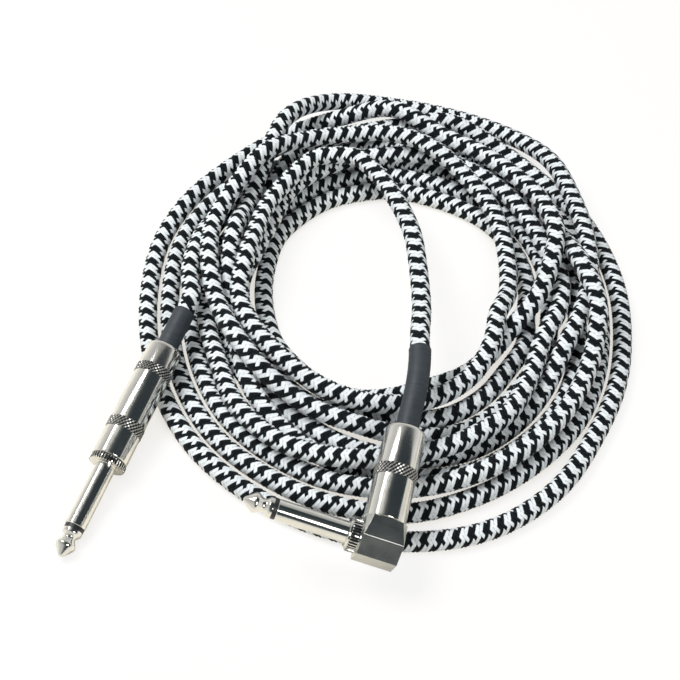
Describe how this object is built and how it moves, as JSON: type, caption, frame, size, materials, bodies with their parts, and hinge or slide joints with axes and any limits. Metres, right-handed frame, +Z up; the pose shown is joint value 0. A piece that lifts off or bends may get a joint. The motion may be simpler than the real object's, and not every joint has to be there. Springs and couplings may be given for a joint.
{
  "type": "instrument cable",
  "caption": "Braided instrument cable in a loose coil, with a straight quarter-inch plug at one end and a right-angle plug at the other, both with screw-on metal shells.",
  "frame": {"origin": "on the floor under the middle of the two plugs, which stand there with the cord between them", "axes": "+Z up; +X across both plugs, towards the right-angle plug; +Y from the plugs' tips towards the coil"},
  "size_m": [0.1813, 0.2035, 0.0295],
  "materials": {
    "braided_cord": "matte",
    "bright_nickel": "polished",
    "heat_shrink": "matte",
    "black_plastic": "satin",
    "clear_plastic": "gloss",
    "brass": "satin",
    "tinned_wire": "satin",
    "solder": "satin"
  },
  "bodies": {
    "cable": {"cord_coil": "braided_cord", "lead_straight": "braided_cord", "lead_angled": "braided_cord", "tip_straight": "bright_nickel", "tip_ring_straight": "black_plastic", "rod_insulator_straight": "clear_plastic", "prong_sleeve_straight": "bright_nickel", "rear_washer_straight": "black_plastic", "tip_lug_straight": "brass", "cord_clamp_straight": "brass", "heat_shrink_straight": "heat_shrink", "cord_end_straight": "braided_cord", "core_straight": "clear_plastic", "shield_tail_straight": "tinned_wire", "solder_straight": "solder", "tip_angled": "bright_nickel", "tip_ring_angled": "black_plastic", "rod_insulator_angled": "clear_plastic", "prong_sleeve_angled": "bright_nickel", "toothed_collar_angled": "bright_nickel", "body_block_angled": "bright_nickel", "rear_washer_angled": "black_plastic", "tip_lug_angled": "brass", "cord_clamp_angled": "brass", "heat_shrink_angled": "heat_shrink", "cord_end_angled": "braided_cord", "core_angled": "clear_plastic", "shield_tail_angled": "tinned_wire", "solder_angled": "solder"},
    "straight_liner": {"liner_straight": "clear_plastic"},
    "straight_shell": {"shell_straight": "bright_nickel"},
    "angled_liner": {"liner_angled": "clear_plastic"},
    "angled_shell": {"shell_angled": "bright_nickel"}
  },
  "joints": [
    {"name": "straight_unscrew", "type": "slide", "parent": "cable", "child": "straight_liner", "axis": [0.3595, 0.922, 0.1435], "range_m": [0, 0.006]},
    {"name": "straight_shell_turn", "type": "hinge", "parent": "straight_liner", "child": "straight_shell", "pos_m": [-0.0432, -0.0081, 0.00695], "axis": [0.3595, 0.922, 0.1435], "range_deg": [0, 2161]},
    {"name": "angled_unscrew", "type": "slide", "parent": "cable", "child": "angled_liner", "axis": [0.2363, 0.9573, 0.1665], "range_m": [0, 0.006]},
    {"name": "angled_shell_turn", "type": "hinge", "parent": "angled_liner", "child": "angled_shell", "pos_m": [0.04055, -0.03424, 0.01695], "axis": [0.2363, 0.9573, 0.1665], "range_deg": [0, 2161]}
  ],
  "couplings": [
    {"joint": "straight_shell_turn", "follows": "straight_unscrew", "rad_per_m": 6283.2},
    {"joint": "angled_shell_turn", "follows": "angled_unscrew", "rad_per_m": 6283.2}
  ]
}
